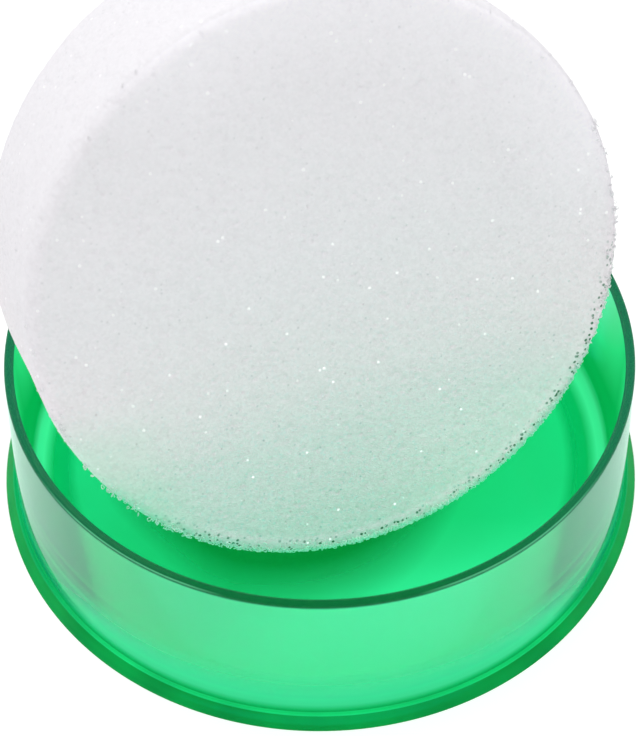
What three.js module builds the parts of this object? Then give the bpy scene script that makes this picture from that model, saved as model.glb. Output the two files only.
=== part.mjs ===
// Sponge cup: a shallow round cup with a narrow sloping base band, in one piece,
// and the thick, loose disc of soft foam that it holds, tipped up on its lower edge.
//
// Millimetres, +Z up. The origin is the centre of the cup's underside, so z = 0 is
// the table top. The cup is a solid of revolution about Z.

import * as THREE from 'three';

const { degToRad } = THREE.MathUtils;

// ---------------------------------------------------------------- cup dimensions
const CUP_HEIGHT = 25.9;        // underside to the top of the rim
const RIM_RADIUS = 43.0;        // outside of the wall at the rim
const RIM_WALL = 1.27;          // wall thickness at the rim
const RIM_ROUND = 0.45;         // outer and inner edge of the rim
const FOOT_RADIUS = 43.95;      // outside of the wall where it meets the base band
const FOOT_BORE = 41.5;         // inside of the wall at floor level; the wall thickens downwards
const FLOOR = 1.3;              // floor thickness
const COVE = 3.2;               // inside corner between floor and wall

const BASE_RADIUS = 45.85;      // foot of the base band, before rounding
const BAND_RADIUS = 44.4;       // top of the band's sloping side, before rounding
const BAND_HEIGHT = 2.0;
const BASE_ROUND = 0.15;        // bottom edge of the band
const BAND_ROUND = 0.3;         // top edge of the band
const ROOT_FILLET = 0.2;        // between band and outer wall

// ---------------------------------------------------------------- foam disc dimensions
const SPONGE_PLAY = 2.0;        // radial gap to the cup's bore, were the disc to lie flat
const SPONGE_RADIUS = FOOT_BORE - SPONGE_PLAY;
const SPONGE_THICKNESS = 24.5;
const SPONGE_ROUND = 1.6;       // both rims of the disc
const SPONGE_TILT = degToRad(68);  // its axis, from vertical
const SPONGE_TURN = degToRad(20);  // which way its upper face looks, from -Y towards +X
const SPONGE_X = -1.8;          // centre of the disc, in plan
const SPONGE_Y = 2.56;
const SPONGE_CLEAR = 0.3;       // lowest edge above the cup's floor

// ---------------------------------------------------------------- mesh fineness
const CUP_SEGMENTS = 96;        // around the axis
const SPONGE_SEGMENTS = 72;
const ROUND_STEPS = 4;          // along each rounded corner of a profile

// ---------------------------------------------------------------- solids of revolution

// The points of an arc that touches both sides of a corner. The corner and its
// neighbours are Vector2; the arc runs from the previous side to the next.
function cornerArc(previous, corner, next, radius) {
  const back = previous.clone().sub(corner).normalize();
  const onward = next.clone().sub(corner).normalize();
  const halfAngle = Math.acos(back.dot(onward)) / 2;

  // The centre lies on the corner's bisector; the arc starts where it touches `back`.
  const centre = back.clone().add(onward)
    .setLength(radius / Math.sin(halfAngle))
    .add(corner);
  const start = back.clone().multiplyScalar(radius / Math.tan(halfAngle)).add(corner);
  const sweep = Math.sign(onward.cross(back)) * (Math.PI - 2 * halfAngle);

  return Array.from({ length: ROUND_STEPS + 1 }, (_, step) => (
    start.clone().rotateAround(centre, (sweep * step) / ROUND_STEPS)
  ));
}

// Turns a profile into a mesh about Z. Corners are [radius, height, rounding], the
// rounding optional, anticlockwise in the (radius, height) plane. The first and
// last lie on the axis and are sharp.
function revolve(name, corners, segments, material) {
  const points = corners.map(([radius, height]) => new THREE.Vector2(radius, height));
  const profile = corners.flatMap(([, , rounding], i) => (
    rounding ? cornerArc(points[i - 1], points[i], points[i + 1], rounding) : [points[i]]
  ));
  const mesh = new THREE.Mesh(new THREE.LatheGeometry(profile, segments), material);
  mesh.name = name;
  mesh.rotation.x = Math.PI / 2;   // the lathe turns about Y; the piece stands on Z
  return mesh;
}

// ---------------------------------------------------------------- cup
function makeCup() {
  const glossyGreen = new THREE.MeshStandardMaterial({
    color: 0x14b866, roughness: 0.12, metalness: 0,
  });
  return revolve('cup', [
    [0, 0],
    [BASE_RADIUS, 0, BASE_ROUND],
    [BAND_RADIUS, BAND_HEIGHT, BAND_ROUND],
    [FOOT_RADIUS, BAND_HEIGHT, ROOT_FILLET],
    [RIM_RADIUS, CUP_HEIGHT, RIM_ROUND],
    [RIM_RADIUS - RIM_WALL, CUP_HEIGHT, RIM_ROUND],
    [FOOT_BORE, FLOOR, COVE],
    [0, FLOOR],
  ], CUP_SEGMENTS, glossyGreen);
}

// ---------------------------------------------------------------- foam disc
// The disc is centred in its own group, which is tipped towards -Y, turned about Z
// and raised until the disc's lowest edge just clears the cup's floor.
function makeTippedSponge() {
  const half = SPONGE_THICKNESS / 2;
  const mattWhite = new THREE.MeshStandardMaterial({
    color: 0xf0f0f2, roughness: 0.95, metalness: 0,
  });
  const sponge = revolve('sponge', [
    [0, -half],
    [SPONGE_RADIUS, -half, SPONGE_ROUND],
    [SPONGE_RADIUS, half, SPONGE_ROUND],
    [0, half],
  ], SPONGE_SEGMENTS, mattWhite);

  // How far the tipped disc reaches below its centre.
  const reach = (SPONGE_RADIUS - SPONGE_ROUND) * Math.sin(SPONGE_TILT)
    + (half - SPONGE_ROUND) * Math.cos(SPONGE_TILT)
    + SPONGE_ROUND;

  const tipped = new THREE.Group();
  tipped.add(sponge);
  tipped.rotation.set(SPONGE_TILT, 0, SPONGE_TURN, 'ZYX');
  tipped.position.set(SPONGE_X, SPONGE_Y, FLOOR + SPONGE_CLEAR + reach);
  return tipped;
}

const spongeCup = new THREE.Group();
spongeCup.add(makeCup(), makeTippedSponge());

export default spongeCup;
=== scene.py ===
"""A sponge cup: a glossy translucent green moulded cup with a white open-cell foam disc in it.

The cup stands on z = 0 with its axis along +Z. The disc leans in it, its facing side turned up
and towards -Y, where the camera is; +X is to the right. Lengths are in mm until they are
multiplied by MM, except for the studio, which is in metres.
"""
import bpy
import itertools
import math
from types import SimpleNamespace
import numpy as np
from mathutils import Matrix, Vector


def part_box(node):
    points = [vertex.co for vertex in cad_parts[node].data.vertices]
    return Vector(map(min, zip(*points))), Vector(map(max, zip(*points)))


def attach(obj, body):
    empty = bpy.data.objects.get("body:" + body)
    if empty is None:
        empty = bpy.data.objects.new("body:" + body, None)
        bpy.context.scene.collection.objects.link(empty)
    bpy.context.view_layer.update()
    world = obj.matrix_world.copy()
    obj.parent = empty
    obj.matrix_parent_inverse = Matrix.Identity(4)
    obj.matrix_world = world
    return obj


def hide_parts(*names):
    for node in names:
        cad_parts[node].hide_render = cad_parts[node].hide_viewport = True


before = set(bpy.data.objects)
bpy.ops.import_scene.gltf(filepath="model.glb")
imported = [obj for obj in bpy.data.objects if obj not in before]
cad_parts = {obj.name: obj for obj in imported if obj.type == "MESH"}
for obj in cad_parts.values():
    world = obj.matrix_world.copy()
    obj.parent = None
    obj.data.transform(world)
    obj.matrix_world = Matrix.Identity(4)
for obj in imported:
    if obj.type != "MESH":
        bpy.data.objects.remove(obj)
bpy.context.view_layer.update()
MM = 0.001
TURN = 2 * math.pi

# ------------------------------------------------------------------ cup sizes
NOMINAL_RADIUS = 45.7055          # half width of the frame's cup at which SCALE is 1
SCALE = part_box("cup")[1].x / MM / NOMINAL_RADIUS
FLOOR_TOP, BAND_TOP, RIM_TOP = 1.3, 2.0, 25.9
# corners of the cup's section, from the middle of the underside to the middle of the floor:
# radius, height, rounding
CUP_CORNERS = [(radius * SCALE, height * SCALE, rounding * SCALE) for radius, height, rounding in (
    (0.00, 0.0, 0.00),
    (45.85, 0.0, 0.15),           # foot of the base band
    (44.40, BAND_TOP, 0.30),      # top of the band's sloping side
    (43.95, BAND_TOP, 0.20),      # where the wall starts
    (43.00, RIM_TOP, 0.45),       # rim, outside
    (41.73, RIM_TOP, 0.45),       # rim, inside
    (41.50, FLOOR_TOP, 3.20),     # cove between wall and floor
    (0.00, FLOOR_TOP, 0.00))]
CUP_SEGMENTS = 360
LONGEST_STEP = 6                  # straight runs of the section get a ring about this often


# ------------------------------------------------------------------ disc sizes
def measure_disc(name):
    """Centre, axis, radius and thickness of the frame's disc."""
    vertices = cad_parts[name].data.vertices
    points = np.zeros(len(vertices) * 3)
    vertices.foreach_get("co", points)
    points = points.reshape(-1, 3) / MM
    centre = (points.max(0) + points.min(0)) / 2
    offsets = points - centre
    # the axis is the principal direction in which the vertices spread least
    _, directions = np.linalg.eigh(np.cov((points - points.mean(0)).T))
    axis = min(directions.T, key=lambda direction: np.ptp(offsets @ direction))
    axis = axis if axis[2] > 0 else -axis
    heights = offsets @ axis
    centre = centre + axis * (heights.max() + heights.min()) / 2
    offsets = points - centre
    radial = offsets - np.outer(offsets @ axis, axis)
    return centre, axis, np.linalg.norm(radial, axis=1).max(), np.ptp(heights)


DISC_CENTRE, DISC_AXIS, DISC_R, DISC_T = measure_disc("sponge")
HALF = DISC_T / 2
EDGE, BACK_EDGE = 2.0, 1.2        # rounding of the cut edges, facing side and back
# lengths of the stretches of the disc's profile, from the middle of the facing side outwards
FACE_RUN = DISC_R - EDGE
EDGE_RUN = EDGE * math.pi / 2
SIDE_RUN = DISC_T - EDGE - BACK_EDGE
BACK_EDGE_RUN = BACK_EDGE * math.pi / 2
PROFILE_RUN = FACE_RUN + EDGE_RUN + SIDE_RUN + BACK_EDGE_RUN + DISC_R - BACK_EDGE

POINT_SPACING = 0.27
EDGE_STRANDS = 2700
FACE_STRANDS = 600
FRAY_AT = math.radians(-72)       # middle of the frayed stretch: at the bottom, a little right
FLOOR_GAP = 0.12                  # least height of the foam above the cup's floor


# ------------------------------------------------------------------ noise, seeded by place only
def hash3(cell, salt):
    """Three repeatable numbers from 0 to 1 for each whole-number cell."""
    with np.errstate(over="ignore"):
        x, y, z = cell.astype(np.uint32).T
        mixed = (x * np.uint32(374761393) + y * np.uint32(668265263)
                 + z * np.uint32(2147483647) + np.uint32(salt) * np.uint32(2654435761))
        numbers = []
        for _ in range(3):
            mixed = (mixed ^ (mixed >> np.uint32(13))) * np.uint32(1274126177)
            mixed = (mixed ^ (mixed >> np.uint32(16))) * np.uint32(2246822519)
            mixed = mixed ^ (mixed >> np.uint32(15))
            numbers.append(mixed.astype(np.float64) / 4294967295.0)
    return numbers


def cells(points, size, salt):
    """How much farther the second nearest jittered cell centre is than the nearest, in cell
    sizes, and a number from 0 to 1 for the nearest cell."""
    place = points / size
    base = np.floor(place).astype(np.int64)
    nearest = np.full(len(points), 9.0)
    second = np.full(len(points), 9.0)
    tag = np.zeros(len(points))
    for step in itertools.product((-1, 0, 1), repeat=3):
        cell = base + np.array(step)
        a, b, c = hash3(cell, salt)
        distance = np.sqrt(((cell + np.stack([a, b, c], 1) - place) ** 2).sum(1))
        nearer = distance < nearest
        second = np.where(nearer, nearest, np.minimum(second, distance))
        tag = np.where(nearer, (a * 7.31 + b * 3.17 + c * 5.77) % 1.0, tag)
        nearest = np.where(nearer, distance, nearest)
    return second - nearest, tag


def ease(x):
    return x * x * (3 - 2 * x)


def smooth_noise(points, size, salt):
    """Soft value noise, -1 to 1."""
    place = points / size
    base = np.floor(place).astype(np.int64)
    share = ease(place - base)
    total = np.zeros(len(points))
    for corner in itertools.product((0, 1), repeat=3):
        weight = np.where(np.array(corner), share, 1 - share)
        total += hash3(base + np.array(corner), salt)[0] * weight.prod(1)
    return total * 2 - 1


def new_object(name, vertices, faces):
    mesh = bpy.data.meshes.new(name)
    mesh.from_pydata(np.asarray(vertices).tolist(), [], faces)
    mesh.validate()
    mesh.update()
    obj = bpy.data.objects.new(name, mesh)
    bpy.context.scene.collection.objects.link(obj)
    return obj


# ------------------------------------------------------------------ cup
def rounded_corner(before, corner, after, rounding):
    """Points (radius, height, angle of the surface normal) along one rounded corner."""
    corner = np.array(corner)
    back = np.array(before) - corner
    onward = np.array(after) - corner
    back /= np.linalg.norm(back)
    onward /= np.linalg.norm(onward)
    half_angle = math.acos(float(back @ onward)) / 2
    middle = (back + onward) / np.linalg.norm(back + onward)
    centre = corner + middle * rounding / math.sin(half_angle)
    # the normals point to the right of the way the profile runs
    start = math.atan2(back[0], -back[1])
    end = math.atan2(-onward[0], onward[1])
    sweep = (end - start + math.pi) % TURN - math.pi
    reach = rounding if sweep > 0 else -rounding
    steps = 14 if rounding > 1 else 8
    angles = [start + sweep * k / steps for k in range(steps + 1)]
    return [(centre[0] + reach * math.cos(a), centre[1] + reach * math.sin(a), a) for a in angles]


def cup_profile():
    """(radius, height, angle of the surface normal in the radius-height plane), radians."""
    places = [corner[:2] for corner in CUP_CORNERS]
    points = [(*places[0], -math.pi / 2)]
    for i in range(1, len(places) - 1):
        points += rounded_corner(places[i - 1], places[i], places[i + 1], CUP_CORNERS[i][2])
    points.append((*places[-1], math.pi / 2))
    # long straight runs get rings in between
    profile = [points[0]]
    for (r0, z0, angle), (r1, z1, next_angle) in zip(points[:-1], points[1:]):
        extra = int(math.hypot(r1 - r0, z1 - z0) // LONGEST_STEP)
        for k in range(1, extra + 1):
            share = k / (extra + 1)
            profile.append((r0 + (r1 - r0) * share, z0 + (z1 - z0) * share, angle))
        profile.append((r1, z1, next_angle))
    return profile


def make_cup():
    """A smooth body of revolution with its own exact normals."""
    vertices, normals, rings = [], [], []
    for radius, z, angle in cup_profile():
        outward, upward = math.cos(angle), math.sin(angle)
        if radius < 1e-6:
            rings.append([len(vertices)])
            vertices.append((0, 0, z * MM))
            normals.append((0, 0, 1 if upward > 0 else -1))
            continue
        rings.append(list(range(len(vertices), len(vertices) + CUP_SEGMENTS)))
        for s in range(CUP_SEGMENTS):
            turn = TURN * s / CUP_SEGMENTS
            x, y = math.cos(turn), math.sin(turn)
            vertices.append((radius * x * MM, radius * y * MM, z * MM))
            normals.append((outward * x, outward * y, upward))
    faces = []
    for a, b in zip(rings[:-1], rings[1:]):
        for s in range(CUP_SEGMENTS):
            following = (s + 1) % CUP_SEGMENTS
            if len(a) == 1:
                faces.append((a[0], b[following], b[s]))
            elif len(b) == 1:
                faces.append((a[s], a[following], b[0]))
            else:
                faces.append((a[s], a[following], b[following], b[s]))
    cup = new_object("cup_shell", vertices, faces)
    cup.data.shade_smooth()
    cup.data.normals_split_custom_set_from_vertices(normals)
    return cup


# ------------------------------------------------------------------ foam disc
# built in its own frame: x to the right across the facing side, y up it, z along the axis
def disc_profile(s):
    """Radius, height and normal angle in degrees at length s from the facing side's middle."""
    def on_arc(rounding, centre_height, angle):
        return (DISC_R - rounding + rounding * math.cos(math.radians(angle)),
                centre_height + rounding * math.sin(math.radians(angle)), angle)

    if s < FACE_RUN:
        return s, HALF, 90.0
    s -= FACE_RUN
    if s < EDGE_RUN:
        return on_arc(EDGE, HALF - EDGE, 90 - 90 * s / EDGE_RUN)
    s -= EDGE_RUN
    if s < SIDE_RUN:
        return DISC_R, HALF - EDGE - s, 0.0
    s -= SIDE_RUN
    if s < BACK_EDGE_RUN:
        return on_arc(BACK_EDGE, -HALF + BACK_EDGE, -90 * s / BACK_EDGE_RUN)
    s -= BACK_EDGE_RUN
    return max(0.0, DISC_R - BACK_EDGE - s), -HALF, -90.0


def on_disc(lengths, turns, margin):
    """Points and normals at lengths along the profile, kept off its ends, and turns round it."""
    lengths = np.clip(lengths, margin, PROFILE_RUN - margin)
    radius, height, angle = np.array([disc_profile(s) for s in lengths.tolist()]).T
    outward, upward = np.cos(np.radians(angle)), np.sin(np.radians(angle))
    x, y = np.cos(turns), np.sin(turns)
    return (np.stack([radius * x, radius * y, height], 1),
            np.stack([outward * x, outward * y, upward], 1))


def disc_skin(rng):
    """Points, normals and triangles of the plain disc, on rings of jittered points."""
    jitter = 0.3                      # of the spacing
    count = int(round(PROFILE_RUN / POINT_SPACING))
    points, normals = [[(0.0, 0.0, HALF)]], [[(0.0, 0.0, 1.0)]]
    pole = np.array([0.0])
    rings = [(pole, 0)]               # angles round the disc, first point
    total = 1
    for i in range(1, count):
        s = PROFILE_RUN * i / count
        n = max(6, int(round(TURN * disc_profile(s)[0] / POINT_SPACING)))
        turns = (np.arange(n) + rng.uniform(-jitter, jitter, n) + rng.uniform()) / n * TURN
        turns = np.sort(turns % TURN)
        lengths = s + rng.uniform(-jitter, jitter, n) * POINT_SPACING
        ring_points, ring_normals = on_disc(lengths, turns, margin=0.05 * POINT_SPACING)
        points.append(ring_points)
        normals.append(ring_normals)
        rings.append((turns, total))
        total += n
    points.append([(0.0, 0.0, -HALF)])
    normals.append([(0.0, 0.0, -1.0)])
    rings.append((pole, total))
    return np.vstack(points), np.vstack(normals), stitch(rings)


def stitch(rings):
    """Triangles between neighbouring rings, stepping on along whichever ring is behind."""
    triangles = []
    for (a, first_a), (b, first_b) in zip(rings[:-1], rings[1:]):
        count_a, count_b = len(a), len(b)
        if count_a == 1:
            triangles += [(first_a, first_b + k, first_b + (k + 1) % count_b)
                          for k in range(count_b)]
            continue
        if count_b == 1:
            triangles += [(first_a + k, first_b, first_a + (k + 1) % count_a)
                          for k in range(count_a)]
            continue
        turns_a = a.tolist() + [a[0] + TURN]
        turns_b = b.tolist() + [b[0] + TURN]
        i = j = 0
        while i < count_a or j < count_b:
            here_a, here_b = first_a + i % count_a, first_b + j % count_b
            if j >= count_b or (i < count_a and turns_a[i + 1] <= turns_b[j + 1]):
                i += 1
                triangles.append((here_a, here_b, first_a + i % count_a))
            else:
                j += 1
                triangles.append((here_a, here_b, first_b + j % count_b))
    return np.array(triangles)


def cut_surface(points, normals):
    """The roughened points, and the "pore" and "fray" values at each of them."""
    x, y, z = points.T
    inset = 0.5                       # how far inside the corner the edge is measured from
    from_edge = np.hypot(np.maximum(0, DISC_R - inset - np.hypot(x, y)),
                         np.abs(z) - (HALF - inset))
    # frayed most where the disc stands on its edge, and hardly at all along the top
    frayed = 0.05 + 0.95 * np.clip((np.cos(np.arctan2(y, x) - FRAY_AT) - 0.25) / 0.40, 0, 1)
    edge = np.clip(1.25 - from_edge / 1.7, 0, 1) * frayed
    # open cells: shallow on the faces, deeper along the two cut edges
    gap, tag = cells(points, size=0.62, salt=11)
    opening = ease(np.clip((gap - 0.06) / 0.34, 0, 1))
    depth = (0.02 + 0.12 * tag ** 3) * (1 - edge) + (0.06 + 0.14 * tag) * edge
    # finer cells, moved off the first ones
    fine_gap, fine_tag = cells(points + 31.7, size=0.40, salt=29)
    fine_opening = np.clip((fine_gap - 0.05) / 0.35, 0, 1)
    shift = -opening * depth - (0.025 + 0.03 * edge) * fine_opening * fine_tag
    # soft unevenness, wide and narrow, and a general swelling, strongest at the frayed edge
    shift += (0.10 * smooth_noise(points, size=9.0, salt=3)
              + (0.025 + 0.06 * edge) * smooth_noise(points, size=2.3, salt=5)
              + 0.04 + 0.32 * edge)
    pore = np.clip(opening * depth / 0.40, 0, 1)
    fray = np.clip(2.2 - from_edge / 0.9, 0, 1) * np.clip(frayed * 1.6 - 0.5, 0, 1)
    return points + normals * shift[:, None], pore, fray


def unit(vectors):
    return vectors / np.linalg.norm(vectors, axis=1)[:, None]


def strand_places(rng):
    """Points and normals of the strand rings: those on the two cut edges come first."""
    count = EDGE_STRANDS + FACE_STRANDS
    first_edge = FACE_RUN + EDGE_RUN * 0.5
    second_edge = FACE_RUN + EDGE_RUN + SIDE_RUN + BACK_EDGE_RUN * 0.5
    edge_lengths = np.where(rng.uniform(size=EDGE_STRANDS) < 0.62, first_edge, second_edge)
    edge_lengths = edge_lengths + rng.normal(0, 0.50, EDGE_STRANDS)
    # half of the others on the facing side, half on the side and its rounded edges
    face_lengths = np.where(
        rng.uniform(size=FACE_STRANDS) < 0.5,
        FACE_RUN * np.sqrt(rng.uniform(size=FACE_STRANDS)),
        FACE_RUN + rng.uniform(size=FACE_STRANDS) * (SIDE_RUN + EDGE_RUN + BACK_EDGE_RUN))
    # nearly all edge strands lie along the frayed stretch
    fray_share = np.where(np.arange(count) < EDGE_STRANDS, 0.985, 0.0)
    turns = np.where(rng.uniform(size=count) < fray_share,
                     FRAY_AT + rng.normal(0, 0.60, count), rng.uniform(0, TURN, count))
    return on_disc(np.concatenate([edge_lengths, face_lengths]), turns, margin=0.01)


def loose_strands(rng):
    """Small rings of strand standing out of the cut edges, and a few lying on the faces."""
    around, across = 6, 3             # points round a ring and round its strand
    centres, normals = strand_places(rng)
    count = len(centres)
    on_edge = np.arange(count) < EDGE_STRANDS

    def sizes(edge, face):
        return np.where(on_edge, rng.uniform(*edge, count), rng.uniform(*face, count))

    lean = unit(np.cross(normals, rng.normal(0, 1, (count, 3))))   # along the surface
    flat = rng.uniform(size=count) < np.where(on_edge, 0.35, 0.8)
    ring_axis = unit(np.where(flat[:, None], normals + 0.5 * lean,
                              lean + 0.35 * rng.normal(0, 1, (count, 3))))
    ring_x = unit(np.cross(ring_axis, normals + 0.01 * lean))
    ring_y = np.cross(ring_axis, ring_x)
    ring_radius = sizes(edge=(0.16, 0.30), face=(0.12, 0.20))
    lift = np.where(on_edge, rng.uniform(0.12, 0.44, count),
                    np.where(flat, rng.uniform(-0.07, 0.0, count), -ring_radius * 0.75))
    centres = centres + normals * lift[:, None]
    strand_radius = sizes(edge=(0.050, 0.078), face=(0.030, 0.042))
    points = np.zeros((count, around, across, 3))
    for k in range(around):
        turn = TURN * k / around + rng.uniform(-0.25, 0.25, count)
        radius = ring_radius * rng.uniform(0.8, 1.2, count)
        radial = np.cos(turn)[:, None] * ring_x + np.sin(turn)[:, None] * ring_y
        wobble = rng.normal(0, 0.03, count)
        middle = centres + radial * radius[:, None] + ring_axis * wobble[:, None]
        for m in range(across):
            angle = TURN * m / across
            outward = math.cos(angle) * radial + math.sin(angle) * ring_axis
            points[:, k, m] = middle + strand_radius[:, None] * outward
    faces = []
    for k in range(around):
        for m in range(across):
            here, following = k * across, (k + 1) % around * across
            m2 = (m + 1) % across
            faces += [(here + m, here + m2, following + m),
                      (here + m2, following + m2, following + m)]
    first_points = (np.arange(count) * around * across)[:, None, None]
    return points.reshape(-1, 3), (np.array(faces)[None] + first_points).reshape(-1, 3)


def painted_face_light(points):
    """Painted light over the facing side, strongest at its edge: painted light along the top and
    the lower right, and a painted green cast of the cup's light at the lower left."""
    x, y, z = points.T
    facing = (z > HALF - 0.6).astype(float)
    facing_wide = np.clip((z - (HALF - 2.6)) / 1.0, 0, 1)
    inwards = np.clip(DISC_R - np.hypot(x, y), 0, None)
    near_top = np.clip((np.cos(np.arctan2(y, x) - math.radians(65)) - 0.35) / 0.3, 0, 1)
    return {
        "lit_top": facing * np.clip(1 - inwards / 14, 0, 1) ** 1.3 * near_top,
        "lit_low": (facing * np.exp(-inwards / 12)
                    * np.clip(x / 12, 0, 1) * np.clip((-17 - y) / 8, 0, 1)),
        "cup_green_cast": (facing_wide * np.exp(-inwards / 8)
                 * np.clip((-y - 7) / 7, 0, 1) * np.clip((-x - 21) / 7, 0, 1))}


def make_foam():
    rng = np.random.default_rng(7)
    plain, normals, triangles = disc_skin(rng)
    skin, pore, fray = cut_surface(plain, normals)
    strands, strand_faces = loose_strands(rng)
    points = np.vstack([skin, strands])
    faces = np.vstack([triangles, strand_faces + len(skin)])

    # from the disc's own frame into the cup
    right = np.cross([0, 0, 1.0], DISC_AXIS)
    right /= np.linalg.norm(right)
    up_face = np.cross(DISC_AXIS, right)
    placed = DISC_CENTRE + points[:, :1] * right + points[:, 1:2] * up_face + points[:, 2:] * DISC_AXIS
    # nothing sinks into the cup's floor
    placed[:, 2] = np.maximum(placed[:, 2], FLOOR_TOP * SCALE + FLOOR_GAP)
    foam = new_object("foam_disc", placed * MM, faces.tolist())
    foam.data.shade_smooth()

    def set_attribute(name, on_skin, on_strands=0.0):
        values = np.full(len(points), on_strands, np.float32)
        values[:len(skin)] = on_skin
        foam.data.attributes.new(name, "FLOAT", "POINT").data.foreach_set("value", values)

    set_attribute("pore", pore)
    set_attribute("strand", 0.0, on_strands=1.0)
    set_attribute("fray", fray)
    for name, tone in painted_face_light(plain).items():
        set_attribute(name, tone)
    return foam


# ------------------------------------------------------------------ shader helpers
class Graph:
    """Adds shader nodes. An input is a value or an output to link; colours are three numbers."""

    def __init__(self, tree):
        self.tree = tree

    def node(self, kind, inputs=None, **settings):
        node = self.tree.nodes.new("ShaderNode" + kind)
        for name, value in settings.items():
            setattr(node, name, value)
        for key, value in (inputs or {}).items():
            socket = node.inputs[key]
            if isinstance(value, bpy.types.NodeSocket):
                self.tree.links.new(value, socket)
            elif socket.type == "RGBA":
                socket.default_value = (*value, 1)
            else:
                socket.default_value = value
        return node

    def add(self, kind, inputs=None, output=0, **settings):
        """Adds a node and gives back one of its outputs."""
        return self.node(kind, inputs, **settings).outputs[output]

    def math(self, operation, a, b=None, clamp=False):
        inputs = {0: a} if b is None else {0: a, 1: b}
        return self.add("Math", inputs, operation=operation, use_clamp=clamp)

    def times(self, first, *others):
        for other in others:
            first = self.math("MULTIPLY", first, other)
        return first

    def plus(self, a, b):
        return self.math("ADD", a, b)

    def minus(self, a, b):
        return self.math("SUBTRACT", a, b)

    def ramp(self, value, at, to=(0, 1)):
        """Runs between the two "to" values while value runs between the two "at" values."""
        return self.add("MapRange", {"Value": value, "From Min": at[0], "From Max": at[1],
                                     "To Min": to[0], "To Max": to[1]})

    def fade(self, length, at, to=(0, 1)):
        """A ramp over a length, with "at" in mm."""
        return self.ramp(length, (at[0] * MM, at[1] * MM), to)

    def colours(self, length, stops):
        """Colour by a length; stops are (mm, colour)."""
        start, end = stops[0][0], stops[-1][0]
        node = self.node("ValToRGB", {"Fac": self.fade(length, at=(start, end))})
        elements = node.color_ramp.elements
        elements[0].color = (*stops[0][1], 1)
        elements[1].color = (*stops[-1][1], 1)
        for at, colour in stops[1:-1]:
            elements.new((at - start) / (end - start)).color = (*colour, 1)
        return node.outputs["Color"]

    def mix(self, factor, a, b, blend="MIX"):
        return self.add("Mix", {"Factor": factor, "A": a, "B": b}, output="Result",
                        data_type="RGBA", blend_type=blend)

    def mix_value(self, factor, a, b):
        return self.add("Mix", {"Factor": factor, "A": a, "B": b}, output="Result",
                        data_type="FLOAT")

    def mix_shader(self, factor, a, b):
        return self.add("MixShader", {0: factor, 1: a, 2: b})

    def add_shader(self, a, b):
        return self.add("AddShader", {0: a, 1: b})

    def emission(self, colour, strength):
        return self.add("Emission", {"Color": colour, "Strength": strength})

    def vector(self, operation, inputs, output="Vector"):
        return self.add("VectorMath", inputs, output=output, operation=operation)

    def noise(self, place, scale, detail, **inputs):
        return self.add("TexNoise", {"Vector": place, "Scale": scale, "Detail": detail, **inputs},
                        output="Fac")

    def attribute(self, name):
        return self.add("Attribute", output="Fac", attribute_name=name)


def new_material(name):
    material = bpy.data.materials.new(name)
    material.use_nodes = True
    material.node_tree.nodes.clear()
    return material, Graph(material.node_tree)


# ------------------------------------------------------------------ cup plastic
# painted light and shade on the cup's outside by height, from the foot of the band up the wall:
# the band painted dark as shade, a painted highlight along its top edge and painted shade above it
FOOT_LIGHT_AND_SHADE = (
    (0.000, (0.0010, 0.300, 0.050)),
    (1.050, (0.0010, 0.340, 0.055)),
    (1.834, (0.0010, 0.330, 0.050)),
    (1.904, (0.014, 0.74, 0.22)),
    (2.030, (0.014, 0.74, 0.22)),
    (2.121, (0.004, 0.46, 0.10)),
    (2.590, (0.008, 0.62, 0.18)),
    (3.710, (0.048, 0.84, 0.36)),
    (7.000, (0.050, 0.88, 0.40)))
# the inner floor's green, and the painted shade and light inside the cup
FLOOR_GREEN = (0.011, 0.70, 0.193)
COVE_SHADE = (0.001, 0.44, 0.08)
COVE_HIGHLIGHT = (0.060, 0.88, 0.34)
WALL_FOOT_SHADE = (0.0015, 0.45, 0.09)
WALL_MIDDLE = (0.035, 0.78, 0.26)
WALL_HIGH = (0.185, 0.88, 0.47)
# painted light and shade on the inner faces by distance along the section, out over the floor and
# up the wall: the floor's green, painted shade at the floor's edge, a painted highlight in the cove,
# painted shade at the wall's foot and painted light higher up
INNER_LIGHT_AND_SHADE = (
    (30.0, FLOOR_GREEN), (36.6, FLOOR_GREEN),
    (38.1, COVE_SHADE), (40.1, COVE_SHADE),
    (42.0, COVE_HIGHLIGHT), (43.8, COVE_HIGHLIGHT),
    (45.6, WALL_FOOT_SHADE), (49.5, WALL_FOOT_SHADE),
    (56.0, WALL_MIDDLE), (66.0, WALL_HIGH), (70.0, WALL_HIGH))
INNER_SHARE = 0.8                 # how much of the painted light and shade inside covers the clear plastic
INNER_GLOW = 1.33                 # brightness of the painted glow for the light carried inside
INNER_CARRIED = 0.55              # its part against plain lighting
COVE_TOP = 4.5                    # height up to which the section is measured straight up


def cup_places(g):
    """Coordinates on the cup, masks and ray kinds that the parts of its material share."""
    place = g.add("TexCoord", output="Object")
    x, y, z = g.node("SeparateXYZ", {0: place}).outputs
    radius = g.math("SQRT", g.plus(g.times(x, x), g.times(y, y)))
    return SimpleNamespace(
        place=place, x=x, y=y, z=z, radius=radius,
        outside=g.fade(radius, at=(42.6, 42.8)),
        front=g.minus(1.0, g.add("NewGeometry", output="Backfacing")),
        path=g.node("LightPath").outputs)


def clear_plastic(g, cup, roughness):
    """Refracting plastic with a very slight waviness and a trace of milkiness."""
    wave = g.noise(cup.place, scale=70, detail=1)
    bump = g.add("Bump", {"Height": wave, "Strength": 0.04, "Distance": 0.0004})
    glass = g.add("BsdfPrincipled", {
        "Base Color": (1, 1, 1), "Transmission Weight": 1.0, "IOR": 1.58,
        "Roughness": roughness, "Normal": bump})
    milk = g.add("BsdfDiffuse", {"Color": (0.01, 0.60, 0.36)})
    return g.mix_shader(0.035, glass, milk)


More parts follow.
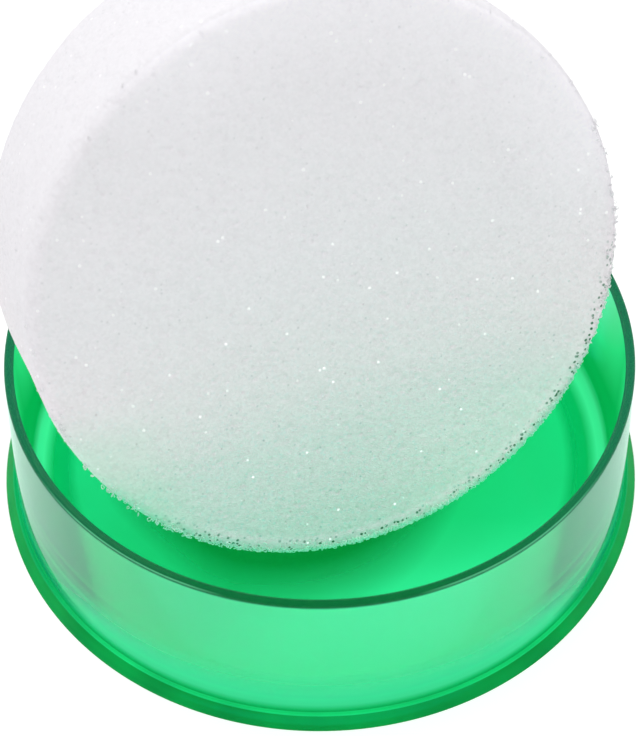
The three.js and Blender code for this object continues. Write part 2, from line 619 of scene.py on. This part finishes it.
def painted_foot(g, cup, roughness):
    """Painted light and shade on the thick band and the wall's foot, which read as solid colour
    from outside: the shader, and its share, which clears up the wall."""
    drift = g.ramp(g.noise(cup.place, scale=95, detail=2), at=(0.35, 0.68), to=(0.90, 1.30))
    # lighter and darker stretches round the band
    colour = g.mix(g.fade(cup.z, at=(1.9, 2.3), to=(1, 0)),
                   g.colours(cup.z, FOOT_LIGHT_AND_SHADE), drift, blend="MULTIPLY")
    # at the left and right the painted highlight and shade above the band's slope give way to a mid
    # green, and the paint clears sooner above the slope
    flank = g.fade(g.math("ABSOLUTE", cup.x), at=(31.0, 39.0))
    colour = g.mix(g.times(flank, g.fade(cup.z, at=(1.70, 1.80), to=(0, 0.8))),
                   colour, (0.004, 0.42, 0.11))
    solid = g.add("BsdfPrincipled", {
        "Base Color": colour, "IOR": 1.5, "Specular IOR Level": 0.03, "Roughness": roughness})
    share = g.times(cup.outside, g.fade(cup.z, at=(0.02, 0.04)),
                    g.fade(cup.z, at=(5.0, 11.0), to=(0.95, 0)))
    cleared = g.times(flank, g.fade(cup.z, at=(2.2, 3.0), to=(0, 0.6)))
    return solid, g.times(share, g.minus(1.0, cleared))


def gap_to_disc(g, foam):
    """Distance from the foam disc's body, in metres."""
    place = g.add("TexCoord", output="Object", object=foam)
    axis = tuple(DISC_AXIS)
    offset = g.vector("SUBTRACT", {0: place, 1: tuple(DISC_CENTRE * MM)})
    height = g.vector("DOT_PRODUCT", {0: offset, 1: axis}, output="Value")
    on_axis = g.vector("SCALE", {0: axis, "Scale": height})
    radial = g.vector("SUBTRACT", {0: offset, 1: on_axis})
    radius = g.vector("LENGTH", {0: radial}, output="Value")
    over = g.math("MAXIMUM", g.minus(g.math("ABSOLUTE", height), HALF * MM), 0.0)
    past = g.math("MAXIMUM", g.minus(radius, DISC_R * MM), 0.0)
    return g.math("SQRT", g.plus(g.times(over, over), g.times(past, past)))


def floor_shade(g, cup, foam):
    """Factor on the floor's colour: dark near the disc, which keeps the light off it."""
    # to the right, and at the far left, the shade ends closer to the disc
    rightward = g.times(g.math("MAXIMUM", cup.x, -12.0 * MM), 0.10)
    leftward = g.times(g.math("MAXIMUM", g.minus(-16.0 * MM, cup.x), 0.0), 0.12)
    gap = g.plus(gap_to_disc(g, foam), g.plus(rightward, leftward))
    # away from the disc the floor gets painted shade at the left and painted light at the front right
    side = g.math("MAXIMUM", g.fade(cup.x, at=(-16.0, -4.0)),
                  g.fade(cup.x, at=(-20.0, -28.0), to=(0, 0.1)))
    away = g.mix(side, (1.10, 0.83, 0.86), (1.25, 0.98, 1.03))
    front_right = g.times(g.fade(cup.y, at=(-12.0, -23.0)), g.fade(cup.x, at=(-12.0, 2.0)),
                          cup.path["Is Camera Ray"])
    away = g.mix(front_right, away, (3.0, 1.10, 1.37))
    return g.mix(g.fade(gap, at=(6.7, 10.5)), (0.02, 0.32, 0.07), away)


def inner_faces(g, cup, foam):
    """The faces inside the cup, painted with light and shade and given a painted glow for the light
    the plastic carries: the shader, and its share."""
    inside = g.times(
        g.times(g.fade(cup.radius, at=(42.1, 42.3), to=(1, 0)), cup.front),
        g.times(g.fade(cup.z, at=(1.0, 1.2)), g.fade(cup.z, at=(25.2, 25.5), to=(1, 0))))
    # the painted shade at the wall's foot reaches higher in the front half than at the back
    up_wall = g.times(g.math("MAXIMUM", g.minus(cup.z, COVE_TOP * MM), 0.0),
                      g.fade(cup.y, at=(-2.0, 10.0), to=(0.40, 1.0)))
    along = g.plus(cup.radius, g.plus(g.math("MINIMUM", cup.z, COVE_TOP * MM), up_wall))
    # seen through the wall the rings of painted light and shade melt into one tone
    colour = g.mix(cup.path["Is Camera Ray"], FLOOR_GREEN, g.colours(along, INNER_LIGHT_AND_SHADE))
    # the shade lies on the flat floor only; the walls stand clear of it
    shade = g.mix(g.fade(along, at=(37.0, 41.0), to=(1, 0)), (1, 1, 1), floor_shade(g, cup, foam))
    colour = g.mix(1.0, colour, shade, blend="MULTIPLY")
    plain = g.add("BsdfDiffuse", {"Color": colour})
    lit = g.mix_shader(INNER_CARRIED, plain, g.emission(colour, INNER_GLOW))
    return lit, g.times(inside, INNER_SHARE)


def wall_and_brim_glow(g, cup):
    """A little light given off by the outer wall and by the left and right of the rim."""
    wall = g.times(cup.outside, cup.front, g.fade(cup.z, at=(25.35, 25.60), to=(1, 0)))
    sides = g.fade(g.math("ABSOLUTE", cup.x), at=(15.0, 40.0), to=(1.0, 1.35))
    off_middle = g.math("DIVIDE", g.math("ABSOLUTE", cup.x), 0.043)
    brim = g.times(g.times(g.fade(cup.z, at=(25.1, 25.5)), cup.front),
                   g.times(off_middle, off_middle))
    return g.add_shader(g.emission((0.0, 0.085, 0.060), g.times(wall, sides)),
                        g.emission((0.012, 0.040, 0.050), brim))


def rim_line(g, cup):
    """A painted highlight: a thin light line on the rim's outer edge, left and right of the front."""
    off_middle = g.math("ABSOLUTE", cup.x)
    height = g.times(g.fade(cup.z, at=(25.66, 25.71)),
                     g.fade(cup.z, at=(25.78, 25.83), to=(1, 0)))
    stretch = g.times(g.fade(off_middle, at=(12.0, 17.0)),
                      g.fade(off_middle, at=(31.0, 37.0), to=(1, 0)))
    strength = g.times(g.times(height, stretch), g.fade(cup.radius, at=(42.5, 42.7)),
                       g.fade(cup.y, at=(-5.0, -10.0)), cup.front)
    return g.emission((0.11, 0.34, 0.22), strength)


def cup_material(foam):
    """Clear polystyrene with dye in its body: glossy and refracting, its colour carried by its
    thickness;
    painted light and shade cover much of it, inside, on the rim and round the band.
    """
    material, g = new_material("cup_plastic_look")
    cup = cup_places(g)
    # fine handling marks dull the gloss a little
    marks = g.noise(cup.place, scale=900, detail=4, Roughness=0.7)
    roughness = g.ramp(marks, at=(0.35, 0.75), to=(0.02, 0.09))
    inner, inner_share = inner_faces(g, cup, foam)
    body = g.mix_shader(inner_share, clear_plastic(g, cup, roughness), inner)
    # painted shade on the top of the rim, as dark as the plastic gets
    rim_shade = g.add("BsdfDiffuse", {"Color": (0.003, 0.155, 0.046)})
    on_rim = g.times(g.fade(cup.z, at=(25.30, 25.45)), cup.front, 0.7)
    body = g.mix_shader(on_rim, body, rim_shade)
    body = g.add_shader(body, wall_and_brim_glow(g, cup))
    body = g.add_shader(body, rim_line(g, cup))
    solid, foot_share = painted_foot(g, cup, roughness)
    body = g.mix_shader(g.times(foot_share, cup.front), body, solid)
    # light on its way to other surfaces passes straight through
    clear = g.add("BsdfTransparent", {"Color": (1.0, 1.0, 0.88)})
    passing = g.math("MAXIMUM", cup.path["Is Shadow Ray"], cup.path["Is Diffuse Ray"])
    dye = g.add("VolumeAbsorption", {"Color": (0.0, 0.952, 0.885), "Density": 1400})
    g.node("OutputMaterial", {"Surface": g.mix_shader(passing, body, clear), "Volume": dye})
    return material


# ------------------------------------------------------------------ foam
def foam_cells(g, place, scale, feature="F1"):
    return g.node("TexVoronoi", {"Vector": place, "Scale": scale}, feature=feature).outputs


def cell_number(g, cell, channel):
    """A random number from 0 to 1 for each cell."""
    return g.add("SeparateColor", {0: cell["Color"]}, output=channel)


def picked_cells(g, place, scale, channel, above, spot):
    """A soft spot in each cell whose number is above a limit, fading over "spot" from its
    middle."""
    cell = foam_cells(g, place, scale)
    picked = g.math("GREATER_THAN", cell_number(g, cell, channel), above)
    return g.times(picked, g.ramp(cell["Distance"], at=spot, to=(1, 0)))


def foam_relief(g, place, open_low):
    """Bumps of cells 0.35 mm across with struts between them."""
    struts = foam_cells(g, place, scale=2800, feature="DISTANCE_TO_EDGE")["Distance"]
    grain = g.noise(place, scale=3600, detail=2)
    height = g.plus(g.times(struts, -1.0), g.times(grain, 0.8))
    return g.add("Bump", {"Height": height, "Distance": 0.00012,
                          "Strength": g.times(open_low, 0.62)})


def foam_white(g, place, open_low):
    """White, with every cell a little different and soft patches; painted shade darkens sparse open
    cells and the deeper pores.
    """
    each = cell_number(g, foam_cells(g, place, scale=2800), "Green")
    tone = g.minus(1.0, g.times(each, 0.100, open_low))
    patch = g.ramp(g.noise(place, scale=420, detail=3), at=(0.3, 0.7), to=(0.985, 1.0))
    # painted shade in sparse open cells and in the deeper pores
    hole = picked_cells(g, place, scale=1500, channel="Red", above=0.93, spot=(0.16, 0.30))
    hole_shade = g.minus(1.0, g.times(hole, 0.22, open_low))
    pore_shade = g.ramp(g.attribute("pore"), at=(0, 1), to=(1.0, 0.93))
    value = g.times(g.times(tone, patch), g.times(hole_shade, pore_shade))
    return g.mix(1.0, (0.940, 0.930, 0.965), value, blend="MULTIPLY")


def foam_material():
    """White open-cell foam: matt and fine-grained; a few cell films catch the light in painted
    glints, and painted light and shade from the lamps and the cup lie over it.
    """
    material, g = new_material("foam_look")
    place = g.add("TexCoord", output="Object")
    # cells are a little more open low down
    open_low = g.fade(g.add("SeparateXYZ", {0: place}, output="Z"), at=(18, 62), to=(1.0, 0.45))
    # the painted light from the cup on the foam goes by height above the table
    position = g.add("NewGeometry", output="Position")
    height = g.add("SeparateXYZ", {0: position}, output="Z")
    strand = g.attribute("strand")

    # painted green cast of the cup's light on the lower left of the facing side
    cup_green_cast = g.times(g.attribute("cup_green_cast"), g.fade(height, at=(35, 50), to=(1.0, 0.0)))
    colour = g.mix(cup_green_cast, foam_white(g, place, open_low), (0.74, 1.03, 0.88), blend="MULTIPLY")
    # painted dark green in the open holes along the frayed edge, for the shade in them and the
    # cup's green seen through them
    hole = picked_cells(g, place, scale=1500, channel="Blue", above=0.30, spot=(0.24, 0.38))
    fray = g.attribute("fray")
    colour = g.mix(g.math("MULTIPLY", hole, fray, clamp=True), colour, (0.020, 0.17, 0.075))

    # glints of cell films, and low down some warmer light that reaches the face past the cup
    glint = picked_cells(g, place, scale=1700, channel="Red", above=0.987, spot=(0.20, 0.40))
    warm = g.times(g.fade(height, at=(15, 50), to=(0.070, 0.008)), g.minus(1.0, hole))
    glow = g.mix(1.0, g.times(glint, 0.60, open_low), g.add("CombineColor", {0: warm}),
                 blend="ADD")
    for name, light in (("lit_top", (0.082, 0.082, 0.090)), ("lit_low", (0.060, 0.068, 0.048))):
        closed = g.minus(1.0, g.math("MULTIPLY", hole, fray, clamp=True))
        glow = g.mix(g.times(g.attribute(name), closed), glow, light, blend="ADD")
    # light soaks through a single strand: it never looks darker than the foam behind it
    strand_glow = g.mix(g.fade(height, at=(12, 40), to=(1.0, 0.0)),
                        (0.10, 0.10, 0.10), (0.05, 0.27, 0.13))
    foam = g.add("BsdfPrincipled", {
        "Base Color": colour, "Roughness": 0.9, "Specular IOR Level": 0.2,
        "Normal": foam_relief(g, place, open_low),
        "Emission Color": g.mix(strand, glow, strand_glow), "Emission Strength": 1.0})
    through = g.add("BsdfTranslucent", {"Color": (1, 1, 1)})
    g.node("OutputMaterial", {"Surface": g.mix_shader(g.times(strand, 0.45), foam, through)})
    return material


# ------------------------------------------------------------------ pieces
def hand_over(piece, material, name):
    piece.data.materials.append(material)
    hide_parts(name)
    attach(piece, name)


foam_disc = make_foam()
hand_over(foam_disc, foam_material(), "sponge")
hand_over(make_cup(), cup_material(foam_disc), "cup")

# ------------------------------------------------------------------ studio, in metres
# the table's whiteness as the plastic and plain rays see it, as it lights others by diffuse
# bounce, and as it is mirrored
TABLE_TONE, TABLE_BOUNCE, TABLE_MIRRORED = 1.50, 1.15, 1.18
TENT = 0.72                       # brightness of the white tent all round
TENT_MIRRORED = 0.10              # what the plastic mirrors of it overhead


def make_table():
    """A plain white table top, a little over-exposed so that it reads as pure white."""
    reach, z = 1.5, -0.0002
    table = new_object("floor", [(-reach, -reach, z), (reach, -reach, z),
                                 (reach, reach, z), (-reach, reach, z)], [(0, 1, 2, 3)])
    material, g = new_material("floor_look")
    path = g.node("LightPath").outputs
    tone = g.mix_value(path["Is Diffuse Ray"], TABLE_TONE, TABLE_BOUNCE)
    mirrored = g.times(path["Is Glossy Ray"], g.minus(1.0, path["Is Transmission Ray"]))
    lit = g.add("BsdfDiffuse", {"Color": g.mix_value(mirrored, tone, TABLE_MIRRORED)})
    # seen straight, most of the cast colour is lost in the over-exposure
    plain = g.add("Emission", {"Strength": 1.05})
    seen = g.times(path["Is Camera Ray"], 0.7)
    g.node("OutputMaterial", {"Surface": g.mix_shader(seen, lit, plain)})
    table.data.materials.append(material)


def make_world():
    """A white tent, darker overhead where the plastic mirrors it; the camera sees it white."""
    world = bpy.data.worlds.new("studio")
    bpy.context.scene.world = world
    world.use_nodes = True
    g = Graph(world.node_tree)
    path = g.node("LightPath").outputs
    up = g.add("SeparateXYZ", {0: g.add("TexCoord", output="Generated")}, output="Z")
    mirrored = g.ramp(up, at=(0.10, 0.65), to=(TENT, TENT_MIRRORED))
    lighting = g.ramp(up, at=(0.0, 0.40), to=(TENT * 0.45, TENT * 1.10))
    strength = g.mix_value(path["Is Glossy Ray"], lighting, mirrored)
    strength = g.mix_value(path["Is Camera Ray"], strength, 1.0)
    background = world.node_tree.nodes["Background"]
    background.inputs["Color"].default_value = (1.0, 1.0, 1.0, 1)
    world.node_tree.links.new(strength, background.inputs["Strength"])


def make_light():
    """A soft disc light overhead, behind and a little to the left."""
    light = bpy.data.lights.new("top_soft", "AREA")
    light.shape = "DISK"
    light.size = 0.6
    light.energy = 2.3
    lamp = bpy.data.objects.new("top_soft", light)
    bpy.context.scene.collection.objects.link(lamp)
    lamp.location = (-0.10, 0.20, 0.84)
    aim = Vector((0, 0, 0.02)) - Vector((-0.10, 0.20, 0.84))
    lamp.rotation_euler = aim.to_track_quat("-Z", "Y").to_euler()
    lamp.visible_glossy = False


def make_camera():
    """Looks along +Y and down, with a slight roll."""
    elevation, distance, roll = math.radians(50.4), 0.2936, -0.0089
    target = Vector((0.00005, 0.0, 0.02028))
    look = Vector((0, math.cos(elevation), -math.sin(elevation)))
    level = Vector((1, 0, 0))
    upright = level.cross(look)
    right = level * math.cos(roll) + upright * math.sin(roll)
    up = -level * math.sin(roll) + upright * math.cos(roll)
    place = target - look * distance
    lens = bpy.data.cameras.new("camera")
    lens.lens = 103.5
    lens.sensor_width = 36
    lens.clip_start = 0.01
    camera = bpy.data.objects.new("camera", lens)
    bpy.context.scene.collection.objects.link(camera)
    rows = [(right[i], up[i], -look[i], place[i]) for i in range(3)]
    camera.matrix_world = Matrix((*rows, (0, 0, 0, 1)))
    # the lower edge of the foam is in focus, the top of the disc a touch soft
    focus = bpy.data.objects.new("focus_point", None)
    bpy.context.scene.collection.objects.link(focus)
    focus.location = (0.0, -0.018, 0.015)
    lens.dof.use_dof = True
    lens.dof.focus_object = focus
    lens.dof.aperture_fstop = 50.0
    bpy.context.scene.camera = camera


make_table()
make_world()
make_light()
make_camera()

# light is passed on inside the clear walls many times before it leaves them
cycles = bpy.context.scene.cycles
cycles.max_bounces = 28
cycles.transmission_bounces = 28
cycles.glossy_bounces = 12
cycles.transparent_max_bounces = 16
bpy.context.scene.view_settings.view_transform = "Standard"
